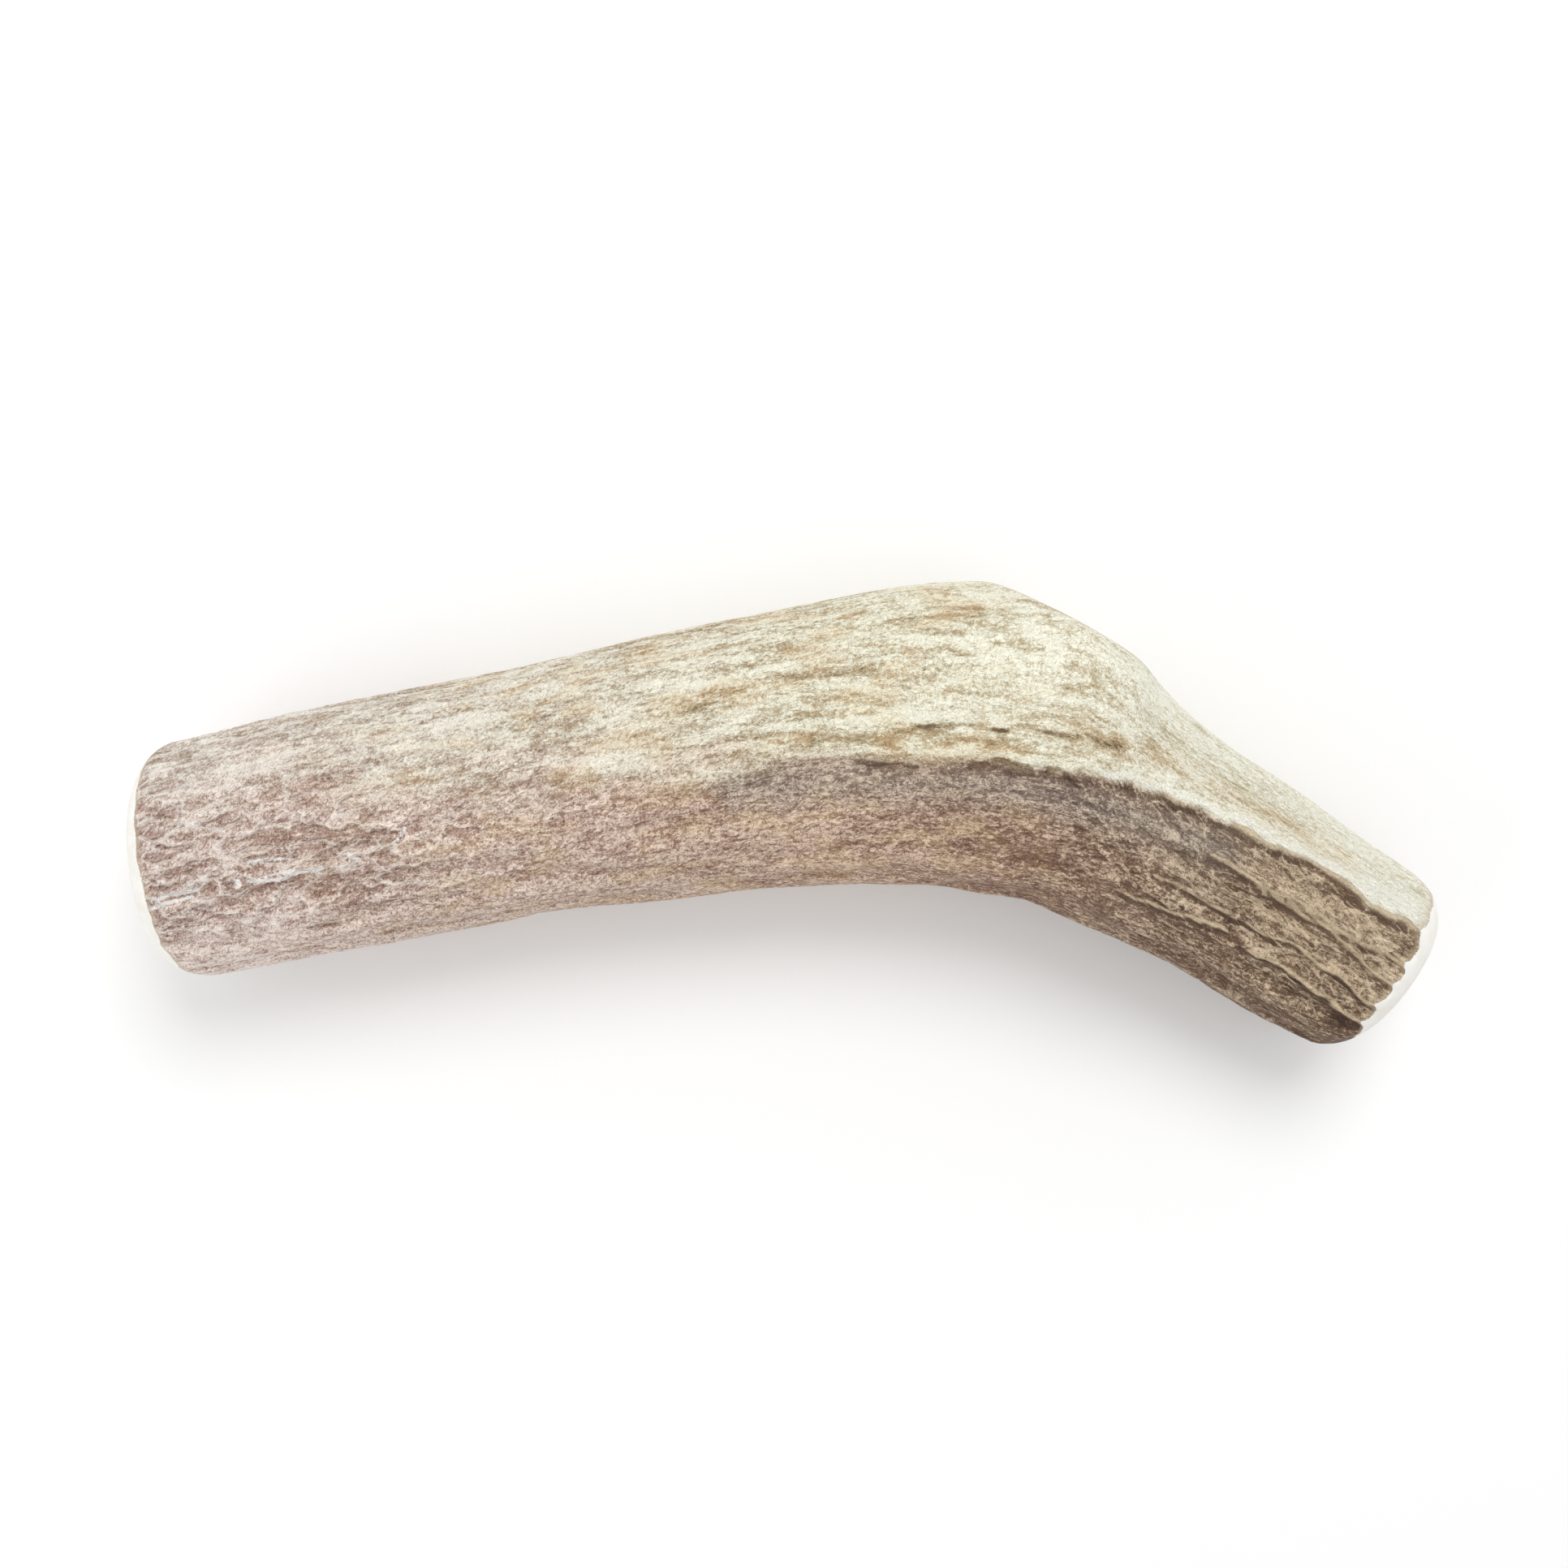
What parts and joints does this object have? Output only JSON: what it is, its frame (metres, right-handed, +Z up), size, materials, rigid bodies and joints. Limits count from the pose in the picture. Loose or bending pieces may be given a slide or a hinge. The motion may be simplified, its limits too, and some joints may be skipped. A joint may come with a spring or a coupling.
{
  "type": "elk antler",
  "caption": "Sawn length of elk antler: a thick furrowed beam bends at the flat stump of a sawn-off tine into a thinner arm. Ends cut flat, rims sanded round.",
  "frame": {"origin": "centre of the bounding box's bottom, on the surface that the antler lies on", "axes": "+X along the antler's length, from the thick sawn end towards the thin one; +Y towards the tine's stump; +Z up as it lies on its side"},
  "size_m": [0.1904, 0.0684, 0.0367],
  "materials": {
    "antler": "matte"
  },
  "bodies": {
    "root": {"antler": "antler"}
  },
  "joints": []
}
